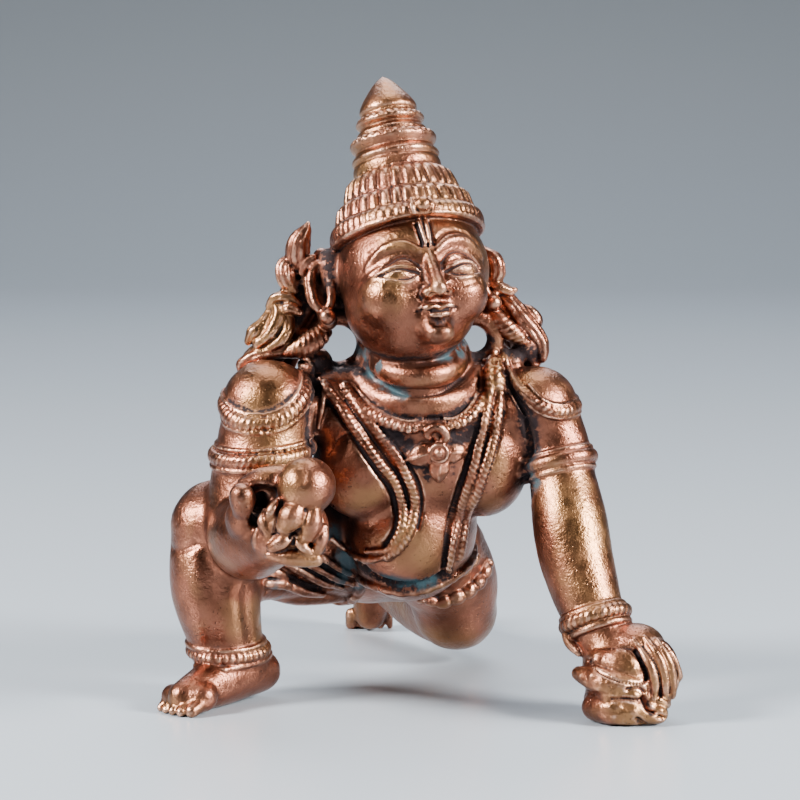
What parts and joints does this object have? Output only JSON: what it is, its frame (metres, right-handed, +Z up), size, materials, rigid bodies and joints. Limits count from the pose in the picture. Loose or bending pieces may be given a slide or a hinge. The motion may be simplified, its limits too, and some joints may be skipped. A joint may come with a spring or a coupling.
{
  "type": "crawling child deity figurine",
  "caption": "Small solid cast copper figurine of a crowned child god crawling on one knee, leaning on its left fist and offering a butter ball in its right hand.",
  "frame": {"origin": "centre of the figure's outline seen from above, on the ground it stands on", "axes": "the figure faces -Y, +X is towards its left hand, the planted one, and +Z is up"},
  "size_m": [0.0542, 0.0653, 0.0658],
  "materials": {
    "copper": "worn copper, dark patina in the hollows"
  },
  "bodies": {
    "root": {"idol": "copper"}
  },
  "joints": []
}
